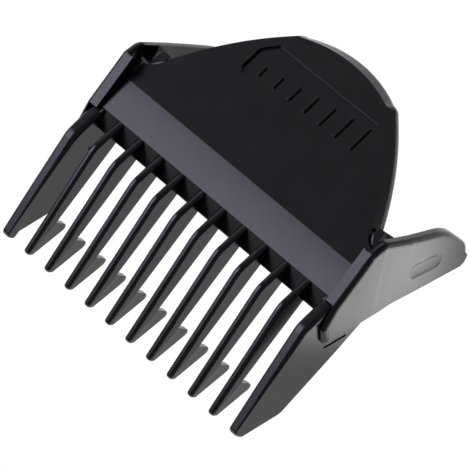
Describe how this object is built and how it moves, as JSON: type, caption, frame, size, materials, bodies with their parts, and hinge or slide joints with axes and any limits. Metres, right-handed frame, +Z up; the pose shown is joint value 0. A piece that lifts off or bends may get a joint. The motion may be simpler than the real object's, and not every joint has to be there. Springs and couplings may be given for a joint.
{
  "type": "clip-on guide comb",
  "caption": "Black moulded guide comb that snaps over the blade of a beard trimmer or hair clipper: a row of ramped teeth, a sloping bar and hood, and two flexing side clips.",
  "frame": {"origin": "under the middle of the bounding box, on the plane that the clip arms' ends and the end teeth's heels stand on", "axes": "+X across the comb from its left clip to its right one, +Y from the tooth tips to the hood's rear edge, +Z up, out of the skin side"},
  "size_m": [0.0516, 0.0437, 0.0177],
  "materials": {
    "hood": "satin moulded black plastic, faintly blue",
    "bar": "satin moulded black plastic, faintly blue",
    "teeth": "polished moulded black plastic",
    "end_teeth": "satin moulded black plastic",
    "clips": "satin moulded black plastic",
    "marks": "raised strokes in the same black plastic"
  },
  "bodies": {
    "comb": {"hood_plate": "hood", "hood_rim": "hood", "length_marks": "marks", "front_bar": "bar", "cross_beam": "hood", "tooth_01": "teeth", "tooth_02": "teeth", "tooth_03": "teeth", "tooth_04": "teeth", "tooth_05": "teeth", "tooth_06": "teeth", "tooth_07": "teeth", "tooth_08": "teeth", "tooth_09": "teeth", "tooth_10": "teeth", "end_tooth_left": "end_teeth", "end_tooth_right": "end_teeth", "hinge_web_left": "bar", "hinge_web_right": "bar", "neck_web_left": "clips", "neck_web_right": "clips"},
    "left_clip": {"clip_arm_left": "clips", "thumb_pad_left": "clips", "catch_left": "clips"},
    "right_clip": {"clip_arm_right": "clips", "thumb_pad_right": "clips", "catch_right": "clips"}
  },
  "joints": [
    {"name": "left_clip_flex", "type": "hinge", "parent": "comb", "child": "left_clip", "pos_m": [-0.02357, -0.00332, 0.01095], "axis": [0, 0.9329, 0.36], "range_deg": [0, 6], "stiffness_Nm_per_rad": 0.3, "deforming": ["hinge_web_left", "neck_web_left"]},
    {"name": "right_clip_flex", "type": "hinge", "parent": "comb", "child": "right_clip", "pos_m": [0.02357, -0.00332, 0.01095], "axis": [0, -0.9329, -0.36], "range_deg": [0, 6], "stiffness_Nm_per_rad": 0.3, "deforming": ["hinge_web_right", "neck_web_right"]}
  ]
}
